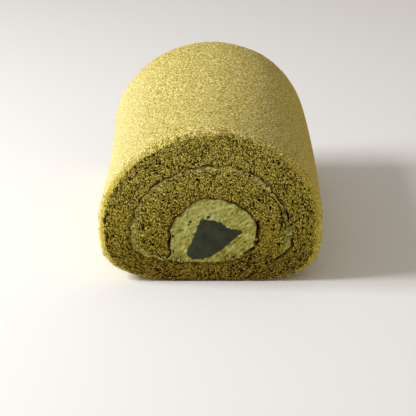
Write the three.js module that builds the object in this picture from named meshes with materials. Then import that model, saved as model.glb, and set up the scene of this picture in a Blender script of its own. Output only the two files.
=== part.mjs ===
// A swiss roll cake: one sheet of sponge, rolled up on a thin spread of cream into a spiral
// that closes on a heart of cream, with a dark set bar running through the heart.
// Millimetres, +Z up. The roll lies along Y with a knife cut at each end, -Y in front, and it
// rests on z = 0. Seen from the front, the sheet starts low on the left of the heart, winds
// clockwise for nearly two turns and tucks its tail under the right of the roll.
import * as THREE from 'three';
import { mergeVertices } from 'three/addons/utils/BufferGeometryUtils.js';

// Driving dimensions
const LENGTH = 150;
const WIDTH = 94.8;
const HEIGHT = 67.5;
const OFF_MIDDLE = -0.5; // the skin's middle, from the middle of the drawing
const RIM = 2.4; // the skin draws in this far at a cut end,
const FOOT_RIM = 0.4; // but hardly at its foot,
const RIM_RUN = 4.2; // over this much of the length
const PRESSED = 0.5; // how far the roll's weight flattens its foot
const CLEARANCE = 0.3; // between a filling and what holds it
const FACET = 3.8; // length of a facet round the section
const LONG_FACET = 18; // length of a facet along the roll

// Each turn of the roll is a lopsided superellipse, as it stands at the cut. left, right, top
// and foot are its reach, lean and waist its middle, and the last four say how square each
// corner is: 2 is round, and a heel that carries weight is squarer.
const SKIN = {
  left: OFF_MIDDLE + RIM - WIDTH / 2, right: OFF_MIDDLE + WIDTH / 2 - RIM,
  top: HEIGHT - RIM, foot: FOOT_RIM,
  lean: 1.2, waist: 26.8,
  leftShoulder: 1.87, rightShoulder: 1.83, leftHeel: 3.7, rightHeel: 3.9,
};
const OUTER_WRAP = {
  left: -34, right: 33.9, top: 51.2, foot: 8.4, lean: 4.9, waist: 20.7,
  leftShoulder: 2.13, rightShoulder: 1.8, leftHeel: 3.25, rightHeel: 3.7,
};
const INNER_WRAP = {
  left: -30.8, right: 30.2, top: 48.9, foot: 9.6, lean: 1.7, waist: 24.6,
  leftShoulder: 2.03, rightShoulder: 1.88, leftHeel: 3.6, rightHeel: 7.5,
};
const HEART = {
  left: -18, right: 20, top: 37.2, foot: 8.4, lean: -0.7, waist: 21.8,
  leftShoulder: 1.6, rightShoulder: 1.85, leftHeel: 3.7, rightHeel: 2.2,
};

// Where the sheet starts and ends, as angles on those turns, in degrees from the right
const SHEET_START = { onHeart: 200, onInnerWrap: 243 };
const LOW_MIDDLE = { onHeart: -88, onOuterWrap: 266 };
const SEAM_TOP = -42;
const CREAM_END = -37;
const TAIL = { right: 17, left: 14.4, slit: 0.6 }; // the seam's mouth under the roll
const SEAM_RUN = [[19.6, 4], [25.2, 8.6]]; // the seam's middle: x, and height over the foot

// Air pockets where the heart has pulled away from the sponge
const POCKETS = [
  { x: -17.8, z: 18.8, reach: 6.0, width: 0.9 },
  { x: 19.8, z: 23.4, reach: 4.6, width: 1.1 },
  { x: 15.9, z: 13.6, reach: 3.0, width: 0.8 },
];

// The bar: a block cut slightly askew, with a hollow along its top and its left side where the
// roll has pressed it, corners from its top left, clockwise
const BAR = [
  [-4.2, 27.7], [0.5, 27.2], [4.6, 25.5], [7.6, 23.3], [13, 22.6], [11.4, 20.9], [4, 14.3],
  [-1.2, 10.9], [-4, 10.1], [-8.2, 10.2], [-10.2, 12.2], [-9.9, 14.9], [-7.3, 18.8], [-6.3, 22.6],
];
const BAR_CORNER = 1;

// How the baked roll departs from a true cylinder: shallow dents that wind round it, shoulders
// that grow fuller towards the back, a lean to the right, and a sag in height. Turns along the
// roll are in radians over its whole length.
const DENTS = [
  { depth: 0.15, lobes: 3, wind: 9, start: 0 },
  { depth: 0.12, lobes: 5, wind: -14, start: 1 },
];
const SHOULDERS = [{ rise: 1.5, direction: 50 }, { rise: 0.8, direction: 125 }];
const SHOULDER_SPREAD = 22; // degrees
const LEAN = { most: 2.6, turn: 3.2, drift: 0.3 };
const SAG = { most: 0.024, turn: 3.6 };
const NEAR_SKIN = 0.86; // from this share of the way out, the crumb swells with the skin

const radians = THREE.MathUtils.degToRad;

// One turn as a three.js curve between two angles
class Turn extends THREE.Curve {
  constructor(turn, from, to) {
    super();
    this.turn = turn;
    this.from = radians(from);
    this.to = radians(to);
  }
  getPoint(t, target = new THREE.Vector2()) {
    const { left, right, top, foot, lean, waist } = this.turn;
    const angle = this.from + t * (this.to - this.from);
    const across = Math.cos(angle);
    const up = Math.sin(angle);
    const shoulder = across < 0 ? this.turn.leftShoulder : this.turn.rightShoulder;
    const heel = across < 0 ? this.turn.leftHeel : this.turn.rightHeel;
    const power = 2 / (up < 0 ? heel : shoulder);
    const reach = across < 0 ? left - lean : right - lean;
    const rise = up < 0 ? foot - waist : top - waist;
    return target.set(
      lean + reach * Math.abs(across) ** power,
      waist + rise * Math.abs(up) ** power,
    );
  }
}

function along(curve) {
  return curve.getSpacedPoints(Math.max(2, Math.round(curve.getLength() / FACET)));
}

function arc(turn, from, to) {
  return along(new Turn(turn, from, to));
}

function pointOn(turn, angle) {
  return new Turn(turn, angle, angle).getPoint(0);
}

function angleAtFoot(turn, x) {
  const heel = x < turn.lean ? turn.leftHeel : turn.rightHeel;
  const reach = x < turn.lean ? turn.left - turn.lean : turn.right - turn.lean;
  const fraction = ((x - turn.lean) / reach) ** (heel / 2);
  return -90 + Math.sign(x - turn.lean) * THREE.MathUtils.radToDeg(Math.asin(fraction));
}

// The seam: the tail of the sheet lies against the turn inside it, a slit that opens a little
// at its mouth. Both walls run from the mouth up to the cream.
function seamWall(mouthX, turn, side) {
  const mouth = pointOn(SKIN, angleAtFoot(SKIN, mouthX));
  const run = SEAM_RUN.map(([x, rise]) => {
    return new THREE.Vector2(x + (side * TAIL.slit) / 2, SKIN.foot + rise);
  });
  return along(new THREE.SplineCurve([mouth, ...run, pointOn(turn, SEAM_TOP)]));
}

// The blunt first edge of the sheet, low on the left, rounded where it was trimmed
function startEdge() {
  const below = pointOn(INNER_WRAP, SHEET_START.onInnerWrap);
  const above = pointOn(HEART, SHEET_START.onHeart);
  const corner = new THREE.Vector2(above.x + 0.4, below.y);
  return new THREE.QuadraticBezierCurve(below, corner, above).getPoints(4);
}

function joined(...runs) {
  const points = [];
  for (const point of runs.flat()) {
    const last = points.at(-1);
    if (!last || last.distanceTo(point) > CLEARANCE) points.push(point);
  }
  return points;
}

// Moves a closed outline sideways, to its left where the distance is positive
function offset(points, distance) {
  return points.map((point, i) => {
    const before = points.at(i - 1);
    const after = points[(i + 1) % points.length];
    const run = after.clone().sub(before).normalize();
    const by = typeof distance === 'function' ? distance(point) : distance;
    return new THREE.Vector2(point.x - run.y * by, point.y + run.x * by);
  });
}

function spongeSection() {
  const skinEnd = angleAtFoot(SKIN, TAIL.left) + 360;
  return joined(
    arc(SKIN, angleAtFoot(SKIN, TAIL.right), skinEnd),
    seamWall(TAIL.left, INNER_WRAP, -1),
    arc(INNER_WRAP, SEAM_TOP, SHEET_START.onInnerWrap),
    startEdge(),
    arc(HEART, SHEET_START.onHeart, LOW_MIDDLE.onHeart),
    arc(OUTER_WRAP, LOW_MIDDLE.onOuterWrap, SEAM_TOP),
    seamWall(TAIL.right, OUTER_WRAP, 1).reverse(),
  );
}

function creamGap(point) {
  const pockets = POCKETS.map(({ x, z, reach, width }) => {
    const away = Math.hypot(point.x - x, point.y - z) / reach;
    return away < 1 ? width * (1 - away ** 2) : 0;
  });
  return CLEARANCE + Math.max(...pockets);
}

function creamSection() {
  const outline = joined(
    arc(OUTER_WRAP, CREAM_END, LOW_MIDDLE.onOuterWrap),
    arc(HEART, LOW_MIDDLE.onHeart, SHEET_START.onHeart),
    startEdge().reverse(),
    arc(INNER_WRAP, SHEET_START.onInnerWrap, CREAM_END),
  );
  return offset(outline, creamGap);
}

function barSection() {
  const corners = BAR.map(([x, z]) => new THREE.Vector2(x, z)).reverse();
  const outline = new THREE.Path();
  corners.forEach((corner, i) => {
    const before = corners.at(i - 1);
    const after = corners[(i + 1) % corners.length];
    const start = corner.clone().add(before.clone().sub(corner).setLength(BAR_CORNER));
    const end = corner.clone().add(after.clone().sub(corner).setLength(BAR_CORNER));
    if (i === 0) outline.moveTo(start.x, start.y);
    else outline.lineTo(start.x, start.y);
    outline.quadraticCurveTo(corner.x, corner.y, end.x, end.y);
  });
  return joined(outline.getPoints(3)).slice(0, -1);
}

// Places along the roll, even between the rims. Where there is skin, more of them follow the
// curl of each rim, which is a quarter of a round.
function stations(hasSkin) {
  const steps = Math.round((LENGTH - 2 * RIM_RUN) / LONG_FACET);
  const curl = hasSkin ? [0, 0.14, 0.45] : [0];
  const front = curl.map((part) => part * RIM_RUN);
  const middle = Array.from({ length: steps + 1 }, (_, i) => {
    return RIM_RUN + (i * (LENGTH - 2 * RIM_RUN)) / steps;
  });
  return [...front, ...middle, ...front.map((place) => LENGTH - place).reverse()];
}

// Where a point of the section stands to the skin: how near, 1 on it and 0 a wrap's thickness
// inside, and which way is outward there
function toSkin(x, z) {
  const { left, right, top, foot, lean, waist } = SKIN;
  const shoulder = x < lean ? SKIN.leftShoulder : SKIN.rightShoulder;
  const heel = x < lean ? SKIN.leftHeel : SKIN.rightHeel;
  const power = z < waist ? heel : shoulder;
  const reach = (x < lean ? left : right) - lean;
  const rise = (z < waist ? foot : top) - waist;
  const across = (x - lean) / reach;
  const up = (z - waist) / rise;
  const fraction = (across ** power + up ** power) ** (1 / power);
  const outward = new THREE.Vector2(across ** (power - 1) / reach, up ** (power - 1) / rise);
  const near = THREE.MathUtils.smoothstep(fraction, NEAR_SKIN, 1);
  return { near, outward: outward.normalize() };
}

// A rounded swelling of the skin, centred on one direction from the waist, in degrees
function bulge(turn, direction) {
  return Math.exp(-(((THREE.MathUtils.radToDeg(turn) - direction) / SHOULDER_SPREAD) ** 2));
}

function sum(values) {
  return values.reduce((total, value) => total + value, 0);
}

// Gives a point of the section its place in the baked roll; y runs from the front cut. The skin
// swells from the drawn-in cut to the full section, and the foot is pressed flat by the weight.
function settle(x, y, z) {
  const { near, outward } = toSkin(x, z);
  const run = Math.min(1, Math.min(y, LENGTH - y) / RIM_RUN);
  const curl = Math.sqrt(1 - (1 - run) ** 2);
  const turn = Math.atan2(z - SKIN.waist, x - SKIN.lean);
  const part = y / LENGTH;
  const dents = sum(DENTS.map(({ depth, lobes, wind, start }) => {
    return depth * Math.sin(lobes * turn + wind * part + start);
  }));
  const shoulders = part * sum(SHOULDERS.map(({ rise, direction }) => {
    return rise * bulge(turn, direction);
  }));
  const down = Math.min(0, outward.y) ** 2;
  const above = RIM + Math.max(0, outward.y) * (dents + shoulders);
  const swell = near * curl * (above * (1 - down) + (FOOT_RIM + PRESSED) * down);
  const lean = LEAN.most * Math.sin(LEAN.turn * part) * (z / HEIGHT) + LEAN.drift * part;
  const settled = 1 - SAG.most * Math.sin(SAG.turn * part) ** 2;
  return [x + outward.x * swell + lean, Math.max(0, z + outward.y * swell) * settled];
}

// A section, drawn out along the roll from the back cut to the front one
function drawnOut(section, { holes = [], hasSkin = false } = {}) {
  const shape = new THREE.Shape(section);
  shape.holes = holes.map((hole) => new THREE.Path(hole));
  const places = stations(hasSkin);
  const steps = places.length - 1;
  let geometry = new THREE.ExtrudeGeometry(shape, { depth: steps, steps, bevelEnabled: false });
  geometry.deleteAttribute('normal');
  geometry.deleteAttribute('uv');
  geometry = mergeVertices(geometry, CLEARANCE / 100);
  const position = geometry.getAttribute('position');
  for (let i = 0; i < position.count; i++) {
    const y = LENGTH - places[Math.round(position.getZ(i))];
    const [x, z] = settle(position.getX(i), y, position.getY(i));
    position.setXYZ(i, x, y - LENGTH / 2, z);
  }
  geometry.computeVertexNormals();
  return geometry;
}

function piece(name, geometry, color, roughness) {
  const material = new THREE.MeshStandardMaterial({ color, roughness, metalness: 0 });
  const mesh = new THREE.Mesh(geometry, material);
  mesh.name = name;
  return mesh;
}

const bar = barSection();
const channel = offset(bar, -CLEARANCE);

const group = new THREE.Group();
group.add(piece('sponge', drawnOut(spongeSection(), { hasSkin: true }), 0xb9ab62, 0.95));
group.add(piece('cream', drawnOut(creamSection(), { holes: [channel] }), 0xa5a060, 0.7));
group.add(piece('bar', drawnOut(bar), 0x343629, 0.5));

// The origin is under the middle of the roll
const bounds = new THREE.Box3().setFromObject(group);
const centre = bounds.getCenter(new THREE.Vector3());
group.position.set(-centre.x, -centre.y, -bounds.min.z);

export default group;
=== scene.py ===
# %% [markdown]
# # A green tea swiss roll
# This lesson dresses a plain model of a swiss roll. The real cake is one sheet of sponge,
# coloured with green tea, spread with cream and rolled up round a bar of dark set green tea.
# The plain model comes first, and every new piece is made at its real place, so nothing has to
# be fitted afterwards. Lengths are written in millimetres and turned to metres once, at the end.

# %% Load the plain model
import math
import random
from functools import partial
from types import SimpleNamespace as Named

import bmesh
import bpy
import numpy as np
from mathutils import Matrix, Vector


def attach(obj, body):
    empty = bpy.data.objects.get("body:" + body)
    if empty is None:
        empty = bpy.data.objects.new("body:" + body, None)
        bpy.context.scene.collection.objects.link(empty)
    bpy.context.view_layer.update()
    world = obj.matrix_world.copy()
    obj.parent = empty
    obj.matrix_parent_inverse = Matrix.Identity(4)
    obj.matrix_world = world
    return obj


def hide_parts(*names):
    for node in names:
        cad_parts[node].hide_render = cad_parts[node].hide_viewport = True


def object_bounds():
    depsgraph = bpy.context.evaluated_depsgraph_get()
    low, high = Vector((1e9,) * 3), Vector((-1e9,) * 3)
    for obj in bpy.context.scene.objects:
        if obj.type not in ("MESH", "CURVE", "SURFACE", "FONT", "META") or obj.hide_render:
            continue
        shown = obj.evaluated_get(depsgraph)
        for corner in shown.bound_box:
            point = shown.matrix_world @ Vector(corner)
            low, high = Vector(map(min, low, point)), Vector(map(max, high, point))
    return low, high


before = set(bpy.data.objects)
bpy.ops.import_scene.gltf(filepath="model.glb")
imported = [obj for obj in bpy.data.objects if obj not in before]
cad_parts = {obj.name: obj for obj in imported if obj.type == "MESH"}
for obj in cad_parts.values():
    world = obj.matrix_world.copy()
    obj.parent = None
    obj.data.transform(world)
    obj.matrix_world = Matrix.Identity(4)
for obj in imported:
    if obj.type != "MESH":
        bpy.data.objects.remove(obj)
plain_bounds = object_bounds()
MM = 0.001
print("plain model:", sorted(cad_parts), [list(corner) for corner in plain_bounds])

# %% [markdown]
# ## The camera
# The roll is seen from a little above, straight on to its front cut. A long lens stands some 62 cm
# in front of the cut. It could be placed by eye. Its place was worked out from how much the roll
# narrows towards its far end, so the lens is exact too.

# %% Place the camera
ROLL_LENGTH = 150
CAMERA_PLACE = (-2.9, -623.5 - ROLL_LENGTH / 2, 260.0)
CAMERA_PITCH = 20.0
CAMERA_YAW = 0.12
LENS = 137.9
SENSOR = 36
FARTHEST_SEEN = 20


def add_object(name, data):
    thing = bpy.data.objects.new(name, data)
    bpy.context.scene.collection.objects.link(thing)
    return thing


camera = add_object("camera", bpy.data.cameras.new("camera"))
camera.data.lens = LENS
camera.data.sensor_width = SENSOR
camera.data.clip_end = FARTHEST_SEEN
camera.location = Vector(CAMERA_PLACE) * MM
camera.rotation_euler = (math.radians(90 - CAMERA_PITCH), 0, math.radians(-CAMERA_YAW))
bpy.context.scene.camera = camera
print("camera", CAMERA_PITCH, "degrees down, lens", LENS, "mm")

# %% [markdown]
# ## The turns of the roll
# Cut across, a swiss roll is a spiral. Each turn sags under its own weight: it is rounder on top
# and squarer at the foot. A superellipse with a different power in each quarter has that shape,
# and a few sizes say all of it: how far it reaches to each side, where its waist is, and how
# square each corner is. These are the same sizes as the plain model's.

# %% Describe the turns
ROLL_WIDTH = 94.8
ROLL_HEIGHT = 67.5
OFF_MIDDLE = -0.5
RIM = 2.4
FOOT_RIM = 0.4
RIM_RUN = 4.2
PRESSED = 0.5
BAR_MIDDLE = np.array([0, 18.5])

SKIN = Named(
    left=OFF_MIDDLE + RIM - ROLL_WIDTH / 2, right=OFF_MIDDLE + ROLL_WIDTH / 2 - RIM,
    top=ROLL_HEIGHT - RIM, foot=FOOT_RIM, lean=1.2, waist=26.8,
    left_shoulder=1.87, right_shoulder=1.83, left_heel=3.7, right_heel=3.9,
)
OUTER_WRAP = Named(
    left=-34, right=33.9, top=51.2, foot=8.4, lean=4.9, waist=20.7,
    left_shoulder=2.13, right_shoulder=1.8, left_heel=3.25, right_heel=3.7,
)
INNER_WRAP = Named(
    left=-30.8, right=30.2, top=48.9, foot=9.6, lean=1.7, waist=24.6,
    left_shoulder=2.03, right_shoulder=1.88, left_heel=3.6, right_heel=7.5,
)
HEART = Named(
    left=-18, right=20, top=37.2, foot=8.4, lean=-0.7, waist=21.8,
    left_shoulder=1.6, right_shoulder=1.85, left_heel=3.7, right_heel=2.2,
)


def quarter(turn, left, low):
    """The power, the reach and the rise of a turn, in the quarter that each point lies in."""
    shoulder = np.where(left, turn.left_shoulder, turn.right_shoulder)
    heel = np.where(left, turn.left_heel, turn.right_heel)
    reach = np.where(left, turn.left, turn.right) - turn.lean
    rise = np.where(low, turn.foot, turn.top) - turn.waist
    return np.where(low, heel, shoulder), reach, rise


def arc(turn, start, end):
    """Points of a turn, (x, z), between two angles in degrees from the right."""
    angle = np.radians(np.linspace(start, end, 1 + int(abs(end - start) * 2)))
    across, up = np.cos(angle), np.sin(angle)
    power, reach, rise = quarter(turn, across < 0, up < 0)
    x = turn.lean + reach * np.abs(across) ** (2 / power)
    z = turn.waist + rise * np.abs(up) ** (2 / power)
    return np.column_stack([x, z])


def steps(points):
    """The distance from each point to the next."""
    return np.linalg.norm(np.diff(points, axis=0), axis=1)


def length(points):
    return float(steps(points).sum())


def travelled(lengths):
    """How far along a line each point lies, from the lengths of its steps."""
    return np.concatenate([[0], np.cumsum(lengths)])


def points_at(places, known, line, **wrap):
    """Reads points off a line at some places, where the places of its own points are known."""
    return np.column_stack([np.interp(places, known, line[:, k], **wrap) for k in (0, 1)])


def even(points, count):
    """count + 1 points at even distances along a line of points."""
    way = travelled(steps(points))
    return points_at(np.linspace(0, way[-1], count + 1), way, points)


print("outer turn", round(length(arc(SKIN, -90, 270))), "mm round")

# %% [markdown]
# ## The sheet's two faces
# The sponge is a flat sheet before it is rolled. One face is the brown baked top, which gets the
# cream and ends up inside. The other becomes the pale skin. In stretches from the first edge to
# the tail, each pair of lines below is the same stretch of the sheet, seen on each face.

# %% Follow both faces of the sheet
HEART_START = 200
WRAP_START = 243
LOW_MIDDLE = Named(outer_wrap=266, skin=269, heart=-88)
SEAM_TOP = -42
MOUTH_LEFT = 274.5
TAIL_TIP = -81.8
SEAM_SLIT = 0.12
SEAM_RUN = [(18.3, FOOT_RIM + 4), (24.7, FOOT_RIM + 8.6)]


def seam_wall(mouth, turn, side):
    """One wall of the seam under the roll, from its mouth up to the cream."""
    top = arc(turn, SEAM_TOP, SEAM_TOP)[-1]
    middle = [(x + side * SEAM_SLIT / 2, z) for x, z in SEAM_RUN]
    return np.array([mouth, *middle, top])


def joined(*runs):
    return np.concatenate(runs)


mouth_left = arc(SKIN, MOUTH_LEFT, MOUTH_LEFT)[-1]
tail_tip = arc(SKIN, TAIL_TIP, TAIL_TIP)[-1] + (-1.2, 0.6)
sheet_stretches = [
    (arc(HEART, HEART_START, 90), arc(INNER_WRAP, WRAP_START, 90)),
    (arc(HEART, 90, 0), arc(INNER_WRAP, 90, 0)),
    (
        joined(arc(HEART, 0, LOW_MIDDLE.heart), arc(OUTER_WRAP, LOW_MIDDLE.outer_wrap, 266)),
        joined(
            arc(INNER_WRAP, 0, SEAM_TOP),
            seam_wall(mouth_left, INNER_WRAP, -1)[::-1],
            arc(SKIN, MOUTH_LEFT, LOW_MIDDLE.skin),
        ),
    ),
    (arc(OUTER_WRAP, LOW_MIDDLE.outer_wrap, 180), arc(SKIN, LOW_MIDDLE.skin, 180)),
    (arc(OUTER_WRAP, 180, 90), arc(SKIN, 180, 90)),
    (arc(OUTER_WRAP, 90, 0), arc(SKIN, 90, 0)),
    (
        joined(arc(OUTER_WRAP, 0, SEAM_TOP), seam_wall(tail_tip, OUTER_WRAP, 1)[::-1]),
        arc(SKIN, 0, TAIL_TIP),
    ),
]
for baked, skin in sheet_stretches:
    print("stretch: baked face", round(length(baked)), "mm, skin", round(length(skin)), "mm")

# %% [markdown]
# ## Rolling a flat slab
# A solid that follows two lines could be skinned face by face. It is simpler to do what the baker
# does: make it flat, with a plain grid of cells, and roll it up at the end. Flat, a slab is a
# grid that is extruded station by station along the roll. Its x counts cells along the sheet,
# its y goes from one face to the other, and its z counts the stations.

# %% Make a flat slab
STATIONS = [0, 0.6, 1.9, RIM_RUN, 20, 40, 60, 75]
STATIONS += [ROLL_LENGTH - place for place in STATIONS[-2::-1]]
LAST_STATION = len(STATIONS) - 1
TINY = 1e-4


def extrude_along(bm):
    """Draws a flat section out, one station after the other."""
    cap = bm.verts[:] + bm.edges[:] + bm.faces[:]
    for station in range(1, len(STATIONS)):
        cap = bmesh.ops.extrude_face_region(bm, geom=cap, use_keep_orig=station == 1)["geom"]
        moved = [part for part in cap if isinstance(part, bmesh.types.BMVert)]
        bmesh.ops.translate(bm, verts=moved, vec=(0, 0, 1))


def flat_slab(cells_along, cells_through):
    """A closed slab of cells_along x cells_through cells, with a station at each whole z."""
    bm = bmesh.new()
    bmesh.ops.create_grid(bm, x_segments=cells_along, y_segments=cells_through, size=0.5)
    bmesh.ops.translate(bm, verts=bm.verts, vec=(0.5, 0.5, 0))
    bmesh.ops.scale(bm, verts=bm.verts, vec=(cells_along, cells_through, 1))
    extrude_along(bm)
    return bm


def refine(bm, cuts, chosen):
    """Cuts each edge that chosen(first corner, second corner) picks, and fills with a grid."""
    edges = [edge for edge in bm.edges if chosen(edge.verts[0].co, edge.verts[1].co)]
    bmesh.ops.subdivide_edges(bm, edges=edges, cuts=cuts, use_grid_fill=True)


def on_cut(a, b):
    return a.z == b.z and a.z in (0, LAST_STATION)


def refine_skin(bm, first_cell, skin_side, cell):
    """Cuts the skin's long cells across, from first_cell on, so that none is longer than cell."""
    for station in range(LAST_STATION):
        span = STATIONS[station + 1] - STATIONS[station]
        cuts = math.ceil(span / cell) - 1
        if cuts > 0:
            low, high = station - TINY, station + 1 + TINY

            def on_skin(a, b):
                on_side = min(a.y, b.y) > skin_side - TINY and min(a.x, b.x) > first_cell - TINY
                along = abs(a.x - b.x) < TINY < abs(a.z - b.z)
                return on_side and along and low < min(a.z, b.z) and max(a.z, b.z) < high

            refine(bm, cuts, on_skin)


# %% [markdown]
# ## The baked form
# A real roll is never a true cylinder. It leans and settles a little along its length, its skin
# swells and dips by a few tenths of a millimetre, its foot is pressed flat, and the knife draws
# the skin in round each cut. One function gives every piece the same unevenness, so that the
# pieces stay together.

# %% Settle the roll
PLAIN_LOW, PLAIN_HIGH = [np.array(corner) / MM for corner in plain_bounds]
DRIFT = (0.32, 0.24)
DENTS = (0.15, 0.12)
SHOULDERS = (1.5, 0.8)
BULGE_WIDTH = 22
LEANS = (2.6, 0.3)
SETTLES = 0.024


def smoothstep(value, low, high):
    t = np.clip((value - low) / (high - low), 0, 1)
    return t * t * (3 - 2 * t)


def to_skin(x, z):
    """How far out each point lies, 1 on the skin, and which way is outward there."""
    power, reach, rise = quarter(SKIN, x < SKIN.lean, z < SKIN.waist)
    across = (x - SKIN.lean) / reach
    up = (z - SKIN.waist) / rise
    outness = (across**power + up**power) ** (1 / power)
    outward = np.column_stack([across ** (power - 1) / reach, up ** (power - 1) / rise])
    outward /= np.maximum(np.linalg.norm(outward, axis=1, keepdims=True), 1e-9)
    return outness, outward


def bulge(turn, direction):
    """A rounded swelling of the skin, centred on one direction, in degrees."""
    return np.exp(-(((np.degrees(turn) - direction) / BULGE_WIDTH) ** 2))


def wander(x, z):
    """How far rolled crumb drifts from the drawn lines, (x, z): waves 4 to 6 mm long."""
    x_drift = DRIFT[0] * np.sin(0.55 * x + 0.9 * z) + DRIFT[1] * np.sin(1.25 * x - 0.7 * z + 1)
    z_drift = DRIFT[0] * np.sin(0.8 * x - 0.6 * z + 2) + DRIFT[1] * np.sin(1.35 * z - 0.5 * x)
    return x_drift, z_drift


def baked_form(x, y, z):
    """Gives the drawn section its place in the baked roll; y runs from the front cut."""
    outness, outward = to_skin(x, z)
    x_drift, z_drift = wander(x, z)
    within = 1 - smoothstep(outness, 0.8, 0.95)
    within *= smoothstep(np.hypot(x - BAR_MIDDLE[0], z - BAR_MIDDLE[1]), 9, 17)
    run = np.clip(np.minimum(y, ROLL_LENGTH - y) / RIM_RUN, 0, 1)
    curl = np.sqrt(1 - (1 - run) ** 2)
    turn = np.arctan2(z - SKIN.waist, x - SKIN.lean)
    part = y / ROLL_LENGTH
    dents = DENTS[0] * np.sin(3 * turn + 9 * part) + DENTS[1] * np.sin(5 * turn - 14 * part + 1)
    shoulders = part * (SHOULDERS[0] * bulge(turn, 50) + SHOULDERS[1] * bulge(turn, 125))
    up = outward[:, 1]
    down = np.minimum(0, up) ** 2
    above = RIM + np.maximum(0, up) * (dents + shoulders)
    swell = smoothstep(outness, 0.86, 1) * curl * (above * (1 - down) + (FOOT_RIM + PRESSED) * down)
    lean = LEANS[0] * np.sin(3.2 * part) * z / ROLL_HEIGHT + LEANS[1] * part
    settled = 1 - SETTLES * np.sin(3.6 * part) ** 2
    new_x = x + within * x_drift + outward[:, 0] * swell + lean
    new_z = np.maximum(0, z + within * z_drift + up * swell) * settled
    return np.column_stack([new_x, y - ROLL_LENGTH / 2, new_z])


outline = arc(SKIN, -90, 270)
widths = [baked_form(outline[:, 0], np.full(len(outline), y), outline[:, 1]) for y in STATIONS]
widths = np.concatenate(widths)[:, 0]
CENTRE = np.array([(widths.min() + widths.max()) / 2, 0, 0])
print("the roll stands", CENTRE[0].round(2), "mm off the middle")


def settle(x, y, z):
    """The same, moved to the plain model's place and kept inside its box."""
    return np.clip(baked_form(x, y, z) - CENTRE, PLAIN_LOW, PLAIN_HIGH)


def settled_point(x, y, z):
    return settle(*[np.array([value]) for value in (x, y, z)])[0]


def mesh_of(name, bm):
    mesh = bpy.data.meshes.new(name)
    bm.to_mesh(mesh)
    bm.free()
    return mesh


def read_points(mesh):
    values = np.empty(3 * len(mesh.vertices))
    mesh.vertices.foreach_get("co", values)
    return values.reshape(-1, 3)


def keep(mesh, flat, **numbers):
    """Keeps numbers at each vertex for the finish to read, and its place in the pattern."""
    numbers |= dict(on_cut=np.isin(flat.y, (0, ROLL_LENGTH)), tear=tears(flat))
    for name, values in numbers.items():
        attribute = mesh.attributes.new(name, "FLOAT", "POINT")
        attribute.data.foreach_set("value", values.astype(np.float32))
    attribute = mesh.attributes.new("pattern_place", "FLOAT_VECTOR", "POINT")
    attribute.data.foreach_set("vector", (flat.place * MM).astype(np.float32).ravel())


def rolled(name, bm, near, far, cells_through):
    """Rolls a flat slab up between two lines. Returns its mesh and what each vertex was."""
    mesh = mesh_of(name, bm)
    along, through, station = read_points(mesh).T
    a, b = [points_at(along, np.arange(len(near)), line) for line in (near, far)]
    share = through / cells_through
    x, z = (a + share[:, None] * (b - a)).T
    y = np.interp(station, np.arange(len(STATIONS)), STATIONS)
    mesh.vertices.foreach_set("co", (settle(x, y, z) * MM).ravel())
    thick, place = np.linalg.norm(b - a, axis=1), np.column_stack([x, y, z])
    return mesh, Named(x=x, y=y, z=z, share=share, thick=thick, along=along, place=place)


def add_piece(mesh):
    """Adds a mesh, its faces turned outwards, and says how many edges are left open."""
    bm = bmesh.new()
    bm.from_mesh(mesh)
    bmesh.ops.recalc_face_normals(bm, faces=bm.faces)
    if bm.calc_volume(signed=True) < 0:
        bmesh.ops.reverse_faces(bm, faces=bm.faces)
    open_edges = sum(not edge.is_manifold for edge in bm.edges)
    volume = bm.calc_volume() / 1e-6
    bm.to_mesh(mesh)
    bm.free()
    print(mesh.name, len(mesh.polygons), "faces,", open_edges, "open edges,", round(volume), "cm3")
    return add_object(mesh.name, mesh)


# %% [markdown]
# ## The sponge
# The sheet is about 12 mm thick. Its cells are just over a millimetre, which is enough for the
# skin. The two cuts show open crumb, whose bubbles are under a millimetre wide, so there each
# cell is cut in nine. Some numbers are kept at each vertex for the finish to read: how deep it
# lies under the baked face, how far in from the skin's edge, how brown the bake is, how green the
# cream has made the crumb, whether the knife tore it, and its place in the flat sheet. Bubbles
# drawn at that place bend with the sheet, and are drawn out where the roll has pulled it.
#
# What changes round the roll is a list of (degrees, value): 0 is on the right, 90 on top, and
# -90 and 270 are at the foot. It could be painted by hand. A list is short, and easy to change.

# %% Bake and roll the sheet
CELL = 1.12
SHEET_THROUGH = 10
SHEET_CELLS = [round((length(a) + length(b)) / 2 / CELL) for a, b in sheet_stretches]
FIRST_SKIN_CELL = sum(SHEET_CELLS[:3]) - SHEET_CELLS[2] // 3
UNBROWNED_SEAM = 22
SKIN_RADIUS = 44
SPREAD_MIDDLE = 23
BROWN_HEART = 1.4
HEART_BAKE_THIN = 1.5
BROWN_SHOWS = [
    (-90, 0.9), (-62, 0.6), (-40, 0.15), (6, 0.15), (14, 0.7), (41, 1.0), (150, 1.0), (172, 0.8),
    (200, 0.8), (215, 1.0), (270, 1.0),
]
BROWN_SPREADS = [(-90, 1.0), (160, 1.0), (175, 0.7), (215, 0.7), (235, 1.0), (270, 1.0)]
DRAWN_OUT = [(-90, 1.3), (0, 1.6), (90, 0.88), (180, 1.6), (270, 1.3)]
FOOT_PAINTED_SHADE = 2.4
FOOT_PAINTED_SHADE_HEIGHT = 1.8
SEAM_FADES = 8
CREAM_BLEACHES = 0.8
RIM_SHOWS = [
    (-90, 0), (-45, 0.3), (-28, 0.7), (5, 0.4), (25, 0), (165, 0), (190, 0.2), (205, 0.7), (220, 0.6),
    (228, 0), (270, 0),
]
CREAM_SOAKS = [
    (-40, 0.3), (-10, 0.7), (12, 0.7), (30, 0.3), (60, 0.1), (120, 0.1), (140, 0.6), (165, 0.5),
    (195, 0.6), (205, 1.0), (226, 1.0), (240, 0),
]
SOAKED_DEEP = 3.2
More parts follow.
